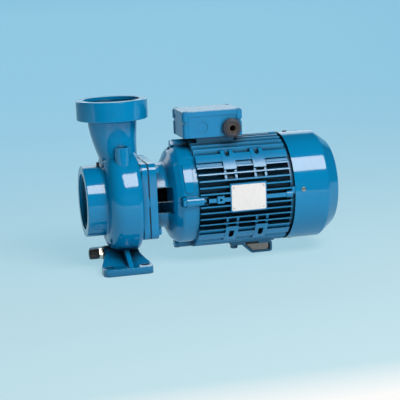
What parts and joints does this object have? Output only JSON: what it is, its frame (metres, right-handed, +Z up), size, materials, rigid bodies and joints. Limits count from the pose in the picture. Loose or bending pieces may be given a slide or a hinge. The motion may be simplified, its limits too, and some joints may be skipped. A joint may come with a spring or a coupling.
{
  "type": "close-coupled centrifugal pump with electric motor",
  "caption": "End-suction centrifugal pump with an upward discharge, bolted through an open lantern to a finned electric motor with a terminal box and fan cover.",
  "frame": {"origin": "on the floor, straight below the shaft and the centre of the discharge port, midway between the two casing feet", "axes": "+X along the shaft from the suction port to the motor, +Z up, -Y the side with the cable gland and rating plate"},
  "size_m": [0.505, 0.2238, 0.3305],
  "materials": {
    "blue_paint": "gloss",
    "blue_motor_paint": "gloss",
    "zinc_screw": "satin",
    "shaft_steel": "satin",
    "impeller_iron": "matt",
    "ceramic_seal": "satin",
    "seal_rubber": "matt",
    "plug_plastic": "satin",
    "nickel_brass": "polished",
    "gland_plastic": "satin",
    "gland_rubber": "matt",
    "fan_plastic": "satin",
    "grey_sheet": "satin",
    "plate_aluminium": "satin"
  },
  "bodies": {
    "root": {"pump_casing": "blue_paint", "lantern_bracket": "blue_paint", "flange_screws": "blue_paint", "tie_screws": "blue_paint", "seal_seat": "ceramic_seal", "bearing_drive_end": "shaft_steel", "bearing_fan_end": "shaft_steel", "priming_plug": "plug_plastic", "gauge_plug": "plug_plastic", "drain_washer": "seal_rubber", "drain_body": "nickel_brass", "drain_knob": "plug_plastic", "motor_frame": "blue_motor_paint", "rear_shield": "blue_motor_paint", "fan_cover": "blue_motor_paint", "fan_guard": "blue_motor_paint", "cover_screws": "zinc_screw", "terminal_box": "blue_motor_paint", "box_lid": "blue_motor_paint", "lid_screws": "zinc_screw", "cable_gland": "gland_plastic", "gland_insert": "gland_rubber", "motor_foot": "blue_motor_paint", "motor_foot_web": "grey_sheet", "motor_foot_screw": "blue_paint", "nameplate": "plate_aluminium"},
    "rotor": {"shaft": "shaft_steel", "impeller": "impeller_iron", "impeller_nut": "shaft_steel", "seal_head": "seal_rubber", "cooling_fan": "fan_plastic"}
  },
  "joints": [
    {"name": "rotor_spin", "type": "hinge", "parent": "root", "child": "rotor", "pos_m": [0.15, 0, 0.132], "axis": [1, 0, 0], "continuous": true}
  ]
}
